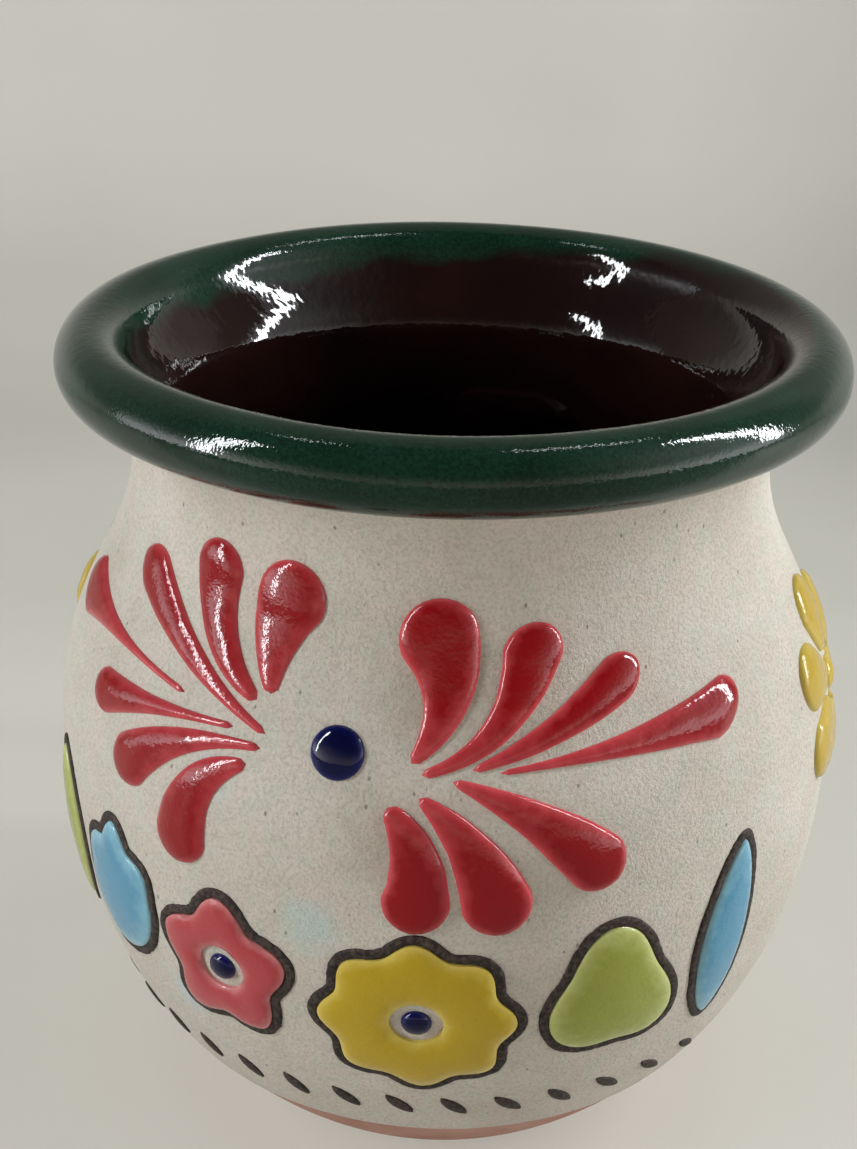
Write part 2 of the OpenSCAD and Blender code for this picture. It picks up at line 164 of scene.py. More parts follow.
mouth_curve = [Vector((in_neck_r, neck_z)),
               Vector((in_neck_r, neck_z + mouth_pull_share * mouth_h)),
               mouth_at - mouth_pull_share * mouth_h * heading(mouth_angle - 90),
               mouth_at]

# The wall outside from the foot to the crease, and the cup inside from its floor to the mouth
wall_run = (along(bowl_curve, bowl_steps)
            + along(shoulder_curve, shoulder_steps, 1)
            + along(crease_curve, crease_steps, 1))
cup_run = (along(floor_curve, floor_steps)
           + along(in_neck_curve, in_neck_steps, 1)
           + along(mouth_curve, mouth_steps, 1))
slip_line = [p + slip_t * n for p, n in wall_run]


def running_length(line):
    total, lengths = 0, [0]
    for a, b in zip(line, line[1:]):
        total += (b - a).length
        lengths.append(total)
    return lengths


# Length up the slip's surface from the belly line, and a flat place wrapped onto the wall
slip_lengths = running_length(slip_line)
bowl_arc = slip_lengths[bowl_steps]
shoulder_arc = slip_lengths[bowl_steps + shoulder_steps] - bowl_arc


def wall_at(v):
    i = min(max(bisect.bisect(slip_lengths, v + bowl_arc) - 1, 0), len(slip_line) - 2)
    t = (v + bowl_arc - slip_lengths[i]) / (slip_lengths[i + 1] - slip_lengths[i])
    return slip_line[i].lerp(slip_line[i + 1], t), wall_run[i][1].lerp(wall_run[i + 1][1], t)


def on_wall(u, v, h, turn=0):
    p, n = wall_at(v)
    angle = turn + u / p.x
    out = p.x + h * n.x
    return Vector((out * math.sin(angle), -out * math.cos(angle), p.y + h * n.y))


# What hands leave on a thrown pot: it is a little out of round and its rim isn't quite level
sway_depth = 0.16 * MM
ripple_depth = 0.05 * MM
rim_dip = 0.25 * MM


def hand_thrown(p):
    radius = math.hypot(p.x, p.y)
    if radius < 1 * MM:
        return p
    around = Vector((p.x, p.y, 0)) / radius
    sway = noise.noise(around * 0.9 + Vector((3.1, 0.4, p.z / (55 * MM))))
    ripple = noise.noise(around * 2.2 + Vector((0.7, 8.3, p.z / (12 * MM))))
    inwards = sway_depth * (1 + sway) + ripple_depth * (1 + ripple)
    inwards *= smooth_step(0, 20 * MM, p.z)
    dip = rim_dip * (1 + noise.noise(around * 1.4 + Vector((5, 5, 5))))
    dip *= smooth_step(neck_z, height, p.z)
    return Vector((p.x - inwards * around.x, p.y - inwards * around.y, p.z - dip))


# Materials
def linear(code):
    parts = [int(code[i:i + 2], 16) / 255 for i in (1, 3, 5)]
    return [c / 12.92 if c <= 0.04045 else ((c + 0.055) / 1.055) ** 2.4 for c in parts] + [1]


def add_node(tree, kind, inputs=None, stops=None, **settings):
    node = tree.nodes.new("ShaderNode" + kind)
    for name, value in settings.items():
        setattr(node, name, value)
    for key, value in (inputs or {}).items():
        if isinstance(value, bpy.types.NodeSocket):
            tree.links.new(value, node.inputs[key])
        else:
            node.inputs[key].default_value = value
    if stops:
        ramp = node.color_ramp
        while len(ramp.elements) < len(stops):
            ramp.elements.new(0.5)
        for element, (place, colour) in zip(ramp.elements, stops):
            element.position = place
            element.color = colour
    return node


def new_material(name):
    material = bpy.data.materials.new(name)
    material.use_nodes = True
    tree = material.node_tree
    shader = tree.nodes["Principled BSDF"]
    return material, tree, shader


def object_place(tree):
    return add_node(tree, "TexCoord").outputs["Object"]


# A cloudy pattern whose features have a real size
def clouds(tree, place, size, detail, **more):
    inputs = {"Vector": place, "Scale": 1 / size, "Detail": detail, **more}
    return add_node(tree, "TexNoise", inputs).outputs["Fac"]


def ramp(tree, factor, *stops):
    coloured = [(place, linear(code)) for place, code in stops]
    return add_node(tree, "ValToRGB", {"Fac": factor}, coloured).outputs["Color"]


def maths(tree, operation, *values):
    return add_node(tree, "Math", dict(enumerate(values)), operation=operation).outputs["Value"]


def dot(tree, a, b):
    return add_node(tree, "VectorMath", {0: a, 1: b}, operation="DOT_PRODUCT").outputs["Value"]


def length(tree, a):
    return add_node(tree, "VectorMath", {0: a}, operation="LENGTH").outputs["Value"]


def level_part(tree, a):
    return add_node(tree, "VectorMath", {0: a, 1: (1, 1, 0)}, operation="MULTIPLY").outputs["Vector"]


def scaled(tree, a, share):
    return add_node(tree, "VectorMath", {0: a, "Scale": share}, operation="SCALE").outputs["Vector"]


# A value between low and high, as a share between start and end
def share_of(tree, value, low, high, start=0, end=1):
    inputs = {"Value": value, 1: low, 2: high, 3: start, 4: end}
    return add_node(tree, "MapRange", inputs).outputs["Result"]


def blend(tree, amount, a, b, way="MIX"):
    inputs = {0: amount, 6: a, 7: b}
    return add_node(tree, "Mix", inputs, data_type="RGBA", blend_type=way).outputs[2]


def bumped(tree, heights, strength, depth, under=None):
    inputs = {"Height": heights, "Strength": strength, "Distance": depth}
    if under is not None:
        inputs["Normal"] = under
    return add_node(tree, "Bump", inputs).outputs["Normal"]


# Low-fired terracotta, turned and left bare: matte, pinkish brown, with a fine open grit
def bare_terracotta():
    material, tree, shader = new_material("bare_terracotta")
    place = object_place(tree)
    tone = clouds(tree, place, 7 * MM, 5)
    grit = clouds(tree, place, 0.5 * MM, 3)
    colour = ramp(tree, tone, (0.3, "#a97a69"), (0.7, "#bd9585"))
    normal = bumped(tree, grit, 0.5, 0.15 * MM)
    tree.links.new(colour, shader.inputs["Base Color"])
    tree.links.new(normal, shader.inputs["Normal"])
    shader.inputs["Roughness"].default_value = 0.9
    return material


# White slip with sand in it, sponged on and fired matte: a warm grey-white, rough as fine
# sandpaper and mottled by its grains, with dark specks of iron, faint smears of stray glaze and
# brownish stains, which are partly painted shade on the darker middle of the front
def sandy_slip():
    material, tree, shader = new_material("sandy_slip")
    place = object_place(tree)
    tone = clouds(tree, place, 16 * MM, 4, Roughness=0.6)
    blush = clouds(tree, place, 3.2 * MM, 3)
    sand = clouds(tree, place, 0.42 * MM, 3, Roughness=0.75)
    tinge = ramp(tree, blush, (0.38, "#f4f8f2"), (0.62, "#fcf6f3"))
    mottle = ramp(tree, sand, (0.36, "#968b7e"), (0.56, "#ffffff"))
    colour = ramp(tree, tone, (0.3, "#c7c0b7"), (0.72, "#d8d3cc"))
    colour = blend(tree, 1, colour, tinge, "MULTIPLY")
    colour = blend(tree, 0.3, colour, mottle, "MULTIPLY")
    colour = blend(tree, iron_specks(tree, place), colour, linear("#6a5b4e"))
    # Smears of stray glaze, and brown stains that are partly painted shade on the middle of the front
    for u, v, spread, tint in smears_and_painted_shade:
        centre = on_wall(u, v, 0)
        moved = add_node(tree, "Mapping", {"Vector": place, "Location": [-c for c in centre]})
        frayed = clouds(tree, place, 2.5 * MM, 3)
        ragged = maths(tree, "MULTIPLY_ADD", frayed, spread, length(tree, moved.outputs["Vector"]))
        amount = share_of(tree, ragged, 0.75 * spread, 1.35 * spread, smear_cover, 0)
        colour = blend(tree, amount, colour, linear(tint))
    uneven = bumped(tree, clouds(tree, place, 5 * MM, 2), 0.3, 0.4 * MM)
    normal = bumped(tree, sand, 1, 0.2 * MM, uneven)
    tree.links.new(colour, shader.inputs["Base Color"])
    tree.links.new(normal, shader.inputs["Normal"])
    shader.inputs["Roughness"].default_value = 0.82
    return material


# About half of the cells of a pattern hold a speck, each of its own size, a little upright
speck_spacing = 1.25 * MM
speck_size = 0.18
speck_edge = 0.08
speck_cover = 0.7


def iron_specks(tree, place):
    drawn_out = add_node(tree, "Mapping", {"Vector": place, "Scale": (1, 1, 0.6)})
    cells = {"Vector": drawn_out.outputs["Vector"], "Scale": 1 / speck_spacing, "Randomness": 1}
    speck = add_node(tree, "TexVoronoi", cells)
    chosen = add_node(tree, "SeparateColor", {"Color": speck.outputs["Color"]}).outputs["Red"]
    size = share_of(tree, chosen, 0.4, 1, 0, speck_size)
    inside = maths(tree, "SUBTRACT", size, speck.outputs["Distance"])
    return share_of(tree, inside, 0, speck_edge, 0, speck_cover)


# Where the green that runs over the lip ends inside: at these heights, less what it runs down
# towards the left and the back, and less its drips
green_stops = 106.7 * MM
brown_starts = 108.2 * MM
run_towards = (-0.85, 0.45, 0)
run_share = 0.12
drip_depth = 6 * MM


def brown_share(tree, place):
    spot = add_node(tree, "SeparateXYZ", {"Vector": place})
    drips = clouds(tree, place, 9 * MM, 2)
    leaning = maths(tree, "MULTIPLY_ADD", dot(tree, place, run_towards), run_share, spot.outputs["Z"])
    running = maths(tree, "MULTIPLY_ADD", drips, drip_depth, leaning)
    below = share_of(tree, running, green_stops, brown_starts, 1, 0)
    inner = maths(tree, "LESS_THAN", length(tree, level_part(tree, place)), roll_c.x - 1 * MM)
    return maths(tree, "MULTIPLY", below, inner)


# Lead-free glazes on the rim, the handle and the inside: bottle green that runs over the lip,
# furthest down at the left of the back, into near-black manganese brown. They are glossy, with
# fine dark flecks, and their skin is pebbled finely outside and rippled in soft cells inside
def dark_glaze(name, pebble, ripple, gloss):
    material, tree, shader = new_material(name)
    place = object_place(tree)
    tone = clouds(tree, place, 14 * MM, 4)
    fleck = clouds(tree, place, 0.4 * MM, 2)
    green_tone = ramp(tree, tone, (0.3, "#0f261b"), (0.75, "#183529"))
    brown_tone = ramp(tree, tone, (0.3, "#140a0a"), (0.75, "#241110"))
    flecked = scaled(tree, green_tone, share_of(tree, fleck, 0.35, 0.65, 0.7, 1.2))
    colour = blend(tree, brown_share(tree, place), flecked, brown_tone)
    soft = bumped(tree, clouds(tree, place, 1.3 * MM, 1), ripple, 0.06 * MM)
    normal = bumped(tree, clouds(tree, place, 0.35 * MM, 1), pebble, 0.03 * MM, soft)
    tree.links.new(colour, shader.inputs["Base Color"])
    tree.links.new(normal, shader.inputs["Normal"])
    shader.inputs["Roughness"].default_value = gloss
    shader.inputs["IOR"].default_value = 1.5
    return material


# Slip-trailed glaze, squeezed from a bulb so that it stands up: glossy, deep where it is thick
# and paler where it thins out at its edge, with a lumpy and finely pebbled skin
def trailed_glaze(name, thick, thin, gloss=0.13, lump=0.35, pebble=0.06 * MM):
    material, tree, shader = new_material(name)
    place = object_place(tree)
    depth = add_node(tree, "Attribute", attribute_name="depth").outputs["Fac"]
    uneven = clouds(tree, place, 1.6 * MM, 3)
    thickness = maths(tree, "MULTIPLY_ADD", uneven, 0.5, depth)
    colour = ramp(tree, thickness, (0.3, thin), (1, thick))
    lumpy = bumped(tree, uneven, lump, 0.2 * MM)
    normal = bumped(tree, clouds(tree, place, 0.45 * MM, 1), 0.7, pebble, lumpy)
    tree.links.new(colour, shader.inputs["Base Color"])
    tree.links.new(normal, shader.inputs["Normal"])
    shader.inputs["Roughness"].default_value = gloss
    shader.inputs["IOR"].default_value = 1.5
    return material


# Manganese line drawn with a dry brush before the glaze: matte, dark brown, broken by the sand
def manganese_line():
    material, tree, shader = new_material("manganese_line")
    place = object_place(tree)
    sand = clouds(tree, place, 0.5 * MM, 3)
    colour = ramp(tree, sand, (0.42, "#241b17"), (0.72, "#54463d"))
    normal = bumped(tree, sand, 0.6, 0.15 * MM)
    tree.links.new(colour, shader.inputs["Base Color"])
    tree.links.new(normal, shader.inputs["Normal"])
    shader.inputs["Roughness"].default_value = 0.75
    return material


# Painted shade on the board: how its tone runs along it, in millimetres from the mug's axis back
# to the fold and then up the wall. It falls at the near end of the table, dips where the table
# folds up into the wall, and falls at the top of the wall, where the glazes would show the dark
# of the room
board_painted_shade = [
    (-200, 0.3), (-90, 0.33), (-55, 0.55), (-32, 1), (10, 0.98), (60, 0.93), (100, 0.89), (146, 0.82),
    (200, 0.8), (240, 0.73), (305, 0.73), (330, 0.8), (350, 0.85), (415, 0.85), (520, 0.3)]
# What the board sends to the camera and to the glazes: a painted glow of its own, and this share
# of its colour under the lamps, both with the painted shade. On the mug it works with its whole
# colour
board_painted_glow = 0.62
board_seen = 0.5
# The tone of the middle, and of the far right corner, where a faint shade is painted
board_middle = 0.96
board_corner = 0.78


# Matte white laminate of a table and a wall board behind it: pale warm grey. The camera and the
# glazes see it with painted shade and a painted glow, which keeps the shadow under the mug faint,
# and from behind the eye goes through it
def pale_board():
    material, tree, shader = new_material("pale_board")
    place = object_place(tree)
    colour = ramp(tree, clouds(tree, place, 90 * MM, 3), (0.3, "#c6c5be"), (0.7, "#cccbc5"))
    ahead = dot(tree, place, (-math.sin(camera_turn), math.cos(camera_turn), 1))
    aside = dot(tree, place, (math.cos(camera_turn), math.sin(camera_turn), 0))
    # The painted shade along the board, and a faint painted shade in its far right corner
    start, end = board_painted_shade[0][0], board_painted_shade[-1][0]
    stops = [((place_mm - start) / (end - start), [tone, tone, tone, 1])
             for place_mm, tone in board_painted_shade]
    along_board = share_of(tree, ahead, start * MM, end * MM)
    tone = add_node(tree, "ValToRGB", {"Fac": along_board}, stops).outputs["Color"]
    to_right = share_of(tree, aside, 55 * MM, 115 * MM)
    far_back = share_of(tree, ahead, 100 * MM, 240 * MM)
    corner = maths(tree, "MULTIPLY", to_right, far_back)
    shaded = scaled(tree, colour, share_of(tree, corner, 0, 1, board_middle, board_corner))
    painted_shade_colour = blend(tree, 1, shaded, tone, "MULTIPLY")
    # A painted glow in the colour with the painted shade, which only the camera and the glazes see
    painted_glow_colour = blend(tree, 1, painted_shade_colour, linear("#fffcf7"), "MULTIPLY")
    ray = add_node(tree, "LightPath")
    seen = maths(tree, "MAXIMUM", ray.outputs["Is Camera Ray"], ray.outputs["Is Glossy Ray"])
    sent_back = blend(tree, seen, colour, scaled(tree, painted_shade_colour, board_seen))
    tree.links.new(sent_back, shader.inputs["Base Color"])
    tree.links.new(painted_glow_colour, shader.inputs["Emission Color"])
    tree.links.new(maths(tree, "MULTIPLY", seen, board_painted_glow), shader.inputs["Emission Strength"])
    shader.inputs["Roughness"].default_value = 0.6
    faces = add_node(tree, "NewGeometry")
    from_behind = maths(tree, "MULTIPLY", faces.outputs["Backfacing"], ray.outputs["Is Camera Ray"])
    clear = add_node(tree, "BsdfTransparent")
    shaders = {0: from_behind, 1: shader.outputs["BSDF"], 2: clear.outputs["BSDF"]}
    either = add_node(tree, "MixShader", shaders)
    tree.links.new(either.outputs["Shader"], tree.nodes["Material Output"].inputs["Surface"])
    return material


# Building pieces
def finish_piece(bm, name, material, nodes, crisp=50):
    bmesh.ops.remove_doubles(bm, verts=bm.verts, dist=0.002 * MM)
    bmesh.ops.recalc_face_normals(bm, faces=bm.faces)
    mesh = bpy.data.meshes.new(name)
    bm.to_mesh(mesh)
    bm.free()
    mesh.shade_smooth()
    mesh.set_sharp_from_angle(angle=math.radians(crisp))
    mesh.materials.append(material)
    piece = bpy.data.objects.new(name, mesh)
    bpy.context.scene.collection.objects.link(piece)
    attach(piece, "root")
    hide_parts(*nodes)
    return piece


# A section turned round the pot's axis: closed, unless it starts and ends on the axis
def spun(profile):
    bm = bmesh.new()
    verts = [bm.verts.new((p.x, 0, p.y)) for p in profile]
    closed = profile[0].x > 0 and profile[-1].x > 0
    edges = [bm.edges.new(pair) for pair in zip(verts, verts[1:] + verts[:1])][:None if closed else -1]
    bmesh.ops.spin(bm, geom=verts + edges, cent=(0, 0, 0), axis=(0, 0, 1), dvec=(0, 0, 0),
                   angle=math.tau, steps=pot_sides, use_merge=True, use_duplicate=False)
    return bm


def settle(bm):
    for vert in bm.verts:
        vert.co = hand_thrown(vert.co)


def thrown_body(material):
    foot_line = [p for p, n in along(foot_curve, foot_steps)]
    profile = ([Vector((0, 0))] + foot_line + [p for p, n in wall_run][1:]
               + roll_arc(clay_roll_r, crease_angle, 360 + mouth_angle, clay_roll_steps)[1:]
               + [p for p, n in cup_run][::-1][1:] + [Vector((0, floor_t))])
    bm = spun(profile)
    settle(bm)
    return finish_piece(bm, "thrown_body", material, ["clay_body"])


# How far the slip's lower edge frays, and the height at which the fraying dies out
fray_depth = 1.1 * MM
fine_fray_depth = 0.35 * MM
fray_top = 19 * MM


def slip_skin(material):
    low = bowl_arc - next(s for s, p in zip(slip_lengths, slip_line) if p.y > bare_foot)
    top = slip_lengths[-1] - bowl_arc
    heights = [-low + (top + low) * i / slip_steps for i in range(slip_steps + 1)]
    outer = [wall_at(v)[0] for v in heights]
    inner = [wall_at(v)[0] - slip_t * wall_at(v)[1] for v in heights]
    bm = spun(outer + inner[::-1])
    for vert in bm.verts:
        angle = math.atan2(vert.co.y, vert.co.x)
        around = Vector((math.cos(angle), math.sin(angle), 0))
        ragged = noise.noise(around * 2.5 + Vector((0, 0, 0.3)))
        fine = noise.noise(around * 11 + Vector((0, 0, 2.3)))
        fray = fray_depth * ragged + fine_fray_depth * fine
        lift = smooth_step(fray_top, bare_foot, vert.co.z) * fray
        vert.co += lift * (around + Vector((0, 0, 1)))
    settle(bm)
    return finish_piece(bm, "slip_skin", material, ["slip_coat"])


def rim_roll(material):
    slip_end = slip_line[-1]
    start = 360 + math.degrees(math.atan2(slip_end.y - roll_c.y, slip_end.x - roll_c.x))
    end = 360 + green_end_angle
    outside = roll_arc(roll_r, start, end, rim_roll_steps)
    under = roll_arc(clay_roll_r, crease_angle, end, under_roll_steps)
    bm = spun([crease_at] + [slip_end] + outside + under[::-1][:-1])
    settle(bm)
    return finish_piece(bm, "rim_roll", material, ["rim_glaze"])


def glazed_inside(material):
    lip = roll_arc(clay_roll_r, green_end_angle, mouth_angle, lip_steps)
    outside = lip + [p for p, n in cup_run][::-1][1:] + [Vector((0, floor_t))]
    lifted = [Vector((0, floor_t + glaze_t))] + [p - glaze_t * n for p, n in cup_run]
    top = roll_arc(roll_r, green_end_angle, mouth_angle, lip_steps)[::-1][1:]
    bm = spun(outside + lifted + top)
    settle(bm)
    return finish_piece(bm, "glazed_inside", material, ["liner_glaze"])


# The strap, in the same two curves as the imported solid
strap_w = 15 * MM
strap_t = 8 * MM
root_swell = 5 * MM
finger_gap = 24 * MM
root_rise = 28
tail_slant = 30
top_root_share = 0.72
low_root_share = -0.36
bow_height_share = 0.62
strap_pull_share = 0.55
root_length_share = 0.22
root_sink_share = 0.9
strap_square_share = 0.8
root_sink = root_sink_share * strap_t
top_root = wall_at(top_root_share * shoulder_arc)[0] - root_sink * heading(root_rise)
low_root = wall_at(low_root_share * bowl_arc)[0] - root_sink * heading(tail_slant)
bow_z = low_root.y + bow_height_share * (top_root.y - low_root.y)
bow_at = Vector((belly_r + finger_gap + strap_t / 2, bow_z))
bow_lift = (top_root.y - bow_at.y) * (1 + math.sin(math.radians(root_rise)))
upper_strap = [top_root,
               top_root + strap_pull_share * (bow_at.x - top_root.x) * heading(root_rise),
               bow_at + Vector((0, strap_pull_share * bow_lift)),
               bow_at]
lower_strap = [bow_at,
               bow_at - Vector((0, strap_pull_share * (bow_at.y - low_root.y))),
               low_root + strap_pull_share * (bow_at.x - low_root.x) * heading(tail_slant),
               low_root]

# What pulling leaves on a strap: a groove along its middle, and a slight unevenness
groove_depth = 0.45 * MM
groove_share = 0.35
pull_depth = 0.25 * MM


def squared(x):
    return math.copysign(abs(x) ** strap_square_share, x)


def strap_section(s, round_angle):
    curve, t = (upper_strap, 2 * s) if s < 0.5 else (lower_strap, 2 * s - 1)
    middle = bezier(curve, t)
    out = outward(bezier_run(curve, t))
    swell = root_swell * max(0, 1 - min(s, 1 - s) / root_length_share) ** 2
    across = (strap_w + swell) / 2 + glaze_t
    thick = (strap_t + swell) / 2 + glaze_t
    side, up = squared(math.cos(round_angle)), squared(math.sin(round_angle))
    groove = groove_depth * math.exp(-(side / groove_share) ** 2) * abs(up)
    pull = pull_depth * noise.noise(Vector((side * 1.5, up * 1.5, s * 9)))
    away = middle + out * (up * (thick - groove) + math.copysign(pull, up) * abs(up))
    return Vector((across * side - abs(pull) * side, away.x, away.y))


def pulled_strap(material):
    bm = bmesh.new()
    bmesh.ops.create_uvsphere(bm, u_segments=40, v_segments=90, radius=1)
    for vert in bm.verts:
        s = math.acos(min(1, max(-1, vert.co.z))) / math.pi
        vert.co = strap_section(s, math.atan2(vert.co.y, vert.co.x))
    nodes = ["strap_handle", "handle_glaze"]
    return finish_piece(bm, "pulled_strap", material, nodes, crisp=80)


# A brush stroke of thick glaze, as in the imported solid: a row holds tail u, tail v, head u,
# head v, bow, head width, tail width and the power of its swelling, in shares of the shoulder
left_fan_shares = [
    [-0.270, 0.057, -0.885, 0.120, -0.02, 0.160, 0.018, 3.0],
    [0.010, 0.025, -0.470, 0.310, 0.08, 0.155, 0.022, 1.5],
    [-0.030, 0.105, -0.200, 0.410, 0.32, 0.160, 0.024, 0.7],
    [0.010, 0.130, 0.035, 0.385, 0.16, 0.205, 0.028, 0.8],
    [-0.090, 0.020, -0.615, -0.060, -0.04, 0.120, 0.018, 1.9],
    [0.000, -0.015, -0.460, -0.190, -0.17, 0.150, 0.022, 1.5],
    [-0.038, -0.066, -0.245, -0.322, -0.33, 0.175, 0.022, 0.8]]
right_fan_shares = [
    [-0.020, 0.008, 0.010, 0.330, -0.33, 0.210, 0.024, 0.9],
    [0.010, -0.020, 0.258, 0.285, -0.33, 0.165, 0.026, 1.35],
    [0.140, -0.005, 0.500, 0.190, -0.08, 0.142, 0.018, 1.1],
    [0.210, -0.014, 0.860, 0.040, 0.02, 0.160, 0.016, 1.7],
    [0.092, -0.034, 0.495, -0.278, 0.10, 0.172, 0.018, 1.0],
    [0.010, -0.080, 0.230, -0.370, 0.17, 0.195, 0.022, 0.9],
    [-0.070, -0.110, 0.018, -0.372, 0.24, 0.185, 0.028, 0.7]]
fan_place = Vector((0.215, 0.415))
dot_rise_share = 0.43
dot_r = 3 * MM
stroke_relief = 1.1 * MM
pool_relief = 1 * MM
line_relief = 0.3 * MM
line_w = 1.3 * MM
flower_turn = math.radians(93.5)
flower_petals = 6
flower_lift = 22
flower_rise_share = 0.25
flower_heart_share = 0.05
# A petal's tail and head from the flower's middle, and the rest as in a stroke's row
petal_shares = [0.09, 0.235, 0, 0.21, 0.05, 0.6]

# A stroke's rounded end and its tip as shares of its length, the powers that shape its section
# and its rise, and how far the underside of what lies on the slip goes down towards it
stroke_cap = 0.2
stroke_tip = 0.03
stroke_dome = 0.85
swell_power = 0.6
pool_dome = 0.55
drop_dome = 0.9
band_dome = 0.6
underside = 0.12 * MM
# The radius of the ring that becomes a band, before it is laid between its two lines
band_far = 2
# How uneven the glaze sets, as shares of its width and of its relief
uneven_width = 0.05
uneven_stroke = 0.09
uneven_pool = 0.07
uneven_band = 0.08


def sideways(d):
    return Vector((-d.y, d.x))


def stroke(bm, row, at, turn=0):
    start, end = Vector(row[0:2]), Vector(row[2:4])
    bow, head_w, tail_w, power = row[4:8]
    pull = (start + end) / 2 + bow * sideways(end - start)
    depth = bm.verts.layers.float["depth"]
    made = bmesh.ops.create_uvsphere(bm, u_segments=24, v_segments=36, radius=1)["verts"]
    for vert in made:
        s = math.acos(min(1, max(-1, vert.co.z))) / math.pi
        t = min(1, s / (1 - stroke_cap))
        round_off = math.pi / 2 * max(0, (s - 1 + stroke_cap) / stroke_cap)
        run = ((1 - t) * (pull - start) + t * (end - pull)).normalized()
        middle = (1 - t) ** 2 * start + 2 * (1 - t) * t * pull + t * t * end
        tail_off = math.sqrt(min(1, s / stroke_tip))
        wide = (tail_w + (head_w - tail_w) * t ** power) * math.cos(round_off) * tail_off
        tremble = noise.noise(Vector((end.x * 7 + t * 4, end.y * 7, 1)))
        wide *= 1 + uneven_width * tremble
        middle += head_w / 2 * math.sin(round_off) * run
        angle = math.atan2(vert.co.y, vert.co.x)
        across, up = math.cos(angle), math.sin(angle)
        flat = (at + middle + across * wide / 2 * sideways(run)) * shoulder_arc
        share = (wide / head_w) ** swell_power
        bead = 1 + uneven_stroke * noise.noise(Vector((flat.x, flat.y, 0)) / (2.6 * MM))
        rise = stroke_relief * share * bead * up ** stroke_dome if up > 0 else underside * up
        vert.co = hand_thrown(on_wall(flat.x, flat.y, rise, turn))
        vert[depth] = max(0, up) * share


def new_beads():
    bm = bmesh.new()
    bm.verts.layers.float.new("depth")
    return bm


def fan(name, rows, place, material, node):
    bm = new_beads()
    for row in rows:
        stroke(bm, row, place)
    return finish_piece(bm, name, material, [node])


def yellow_flowers(material):
    bm = new_beads()
    for side in (-1, 1):
        for k in range(flower_petals):
            d = heading(flower_lift + k * 360 / flower_petals)
            d.x *= -side
            row = [*(petal_shares[0] * d), *(petal_shares[1] * d), *petal_shares[2:]]
            stroke(bm, row, Vector((0, flower_rise_share)), side * flower_turn)
    return finish_piece(bm, "yellow_flowers", material, ["side_flowers"])


# Outlines about their own middles, as functions of the angle. The power brings a leaf to a point
leaf_point_share = 0.4
tulip_waves = 6


def disc(radius):
    return lambda a: radius * heading(a)


def petalled(radius, lobes, dip, stretch):
    def place(a):
        p = radius * (1 - dip / 2 + dip / 2 * math.cos(math.radians(lobes * (a - 90)))) * heading(a)
        return Vector((p.x, p.y * stretch))
    return place


def tulip(radius, tip, stretch):
    def place(a):
        wave = tip * max(0, math.sin(math.radians(a))) * math.cos(math.radians(tulip_waves * (a - 90)))
        p = (radius + wave) * heading(a)
        return Vector((p.x, p.y * stretch))
    return place


def leaf(length, width, lean):
    turn = Matrix.Rotation(math.radians(lean), 2)

    def place(a):
        c, s = heading(a)
        return turn @ Vector((width / 2 * c * abs(c) ** leaf_point_share, length / 2 * s))
    return place


# A domed pool of glaze inside an outline, from a ball that is pressed flat underneath
def pool(bm, outline, at, turn=0, relief=pool_relief, sides=64, dome=pool_dome):
    depth = bm.verts.layers.float["depth"]
    for vert in bmesh.ops.create_uvsphere(bm, u_segments=sides, v_segments=24, radius=1)["verts"]:
        angle = math.degrees(math.atan2(vert.co.y, vert.co.x))
        share = min(1, math.hypot(vert.co.x, vert.co.y))
        up = vert.co.z
        flat = at + share * outline(angle)
        puff = 1 + uneven_pool * noise.noise(Vector((flat.x, flat.y, 0)) / (3.5 * MM))
        rise = relief * puff * up ** dome if up > 0 else underside * up
        vert.co = hand_thrown(on_wall(flat.x, flat.y, rise, turn))
        vert[depth] = max(0, up)


# A closed band round an outline, from a ring that is spun and then laid between two lines
def band(bm, inner, outer, at, relief, sides=96):
    depth = bm.verts.layers.float["depth"]
    upright = Matrix.Translation((band_far, 0, 0)) @ Matrix.Rotation(math.pi / 2, 4, "X")
    ring = bmesh.ops.create_circle(bm, cap_ends=False, segments=14, radius=0.5, matrix=upright)
    edges = list({e for v in ring["verts"] for e in v.link_edges})
    known = set(bm.verts) - set(ring["verts"])
    bmesh.ops.spin(bm, geom=ring["verts"] + edges, cent=(0, 0, 0), axis=(0, 0, 1), dvec=(0, 0, 0),
                   angle=math.tau, steps=sides, use_merge=True, use_duplicate=False)
    for vert in set(bm.verts) - known:
        angle = math.degrees(math.atan2(vert.co.y, vert.co.x))
        share = math.hypot(vert.co.x, vert.co.y) - band_far + 0.5
        up = vert.co.z * 2
        flat = at + inner(angle).lerp(outer(angle), share)
        puff = 1 + uneven_band * noise.noise(Vector((flat.x, flat.y, 0)) / (2.5 * MM))
        rise = relief * puff * up ** band_dome if up > 0 else underside * up
        vert.co = hand_thrown(on_wall(flat.x, flat.y, rise))
        vert[depth] = max(0, up)


# The two edges of a drawn line round an outline, which waver and tremble as a brush does. The
# inner one goes a little under the pool
line_tuck = 0.1 * MM
line_thinning = 0.16 * MM
wave_depth = 0.14 * MM
tremor_depth = 0.11 * MM


def outline_pair(outline):
    def edge(gap, a, shake):
        run = outline(a + 1) - outline(a - 1)
        out = Vector((run.y, -run.x)).normalized()
        wave = noise.noise(Vector((heading(a).x * 4, heading(a).y * 4, shake)))
        tremor = noise.noise(Vector((heading(a).x * 19, heading(a).y * 19, shake)))
        return outline(a) + out * (gap + wave_depth * wave + tremor_depth * tremor)
    return (lambda a: edge(-line_tuck, a, 1)), (lambda a: edge(seat + line_w - line_thinning, a, 5))


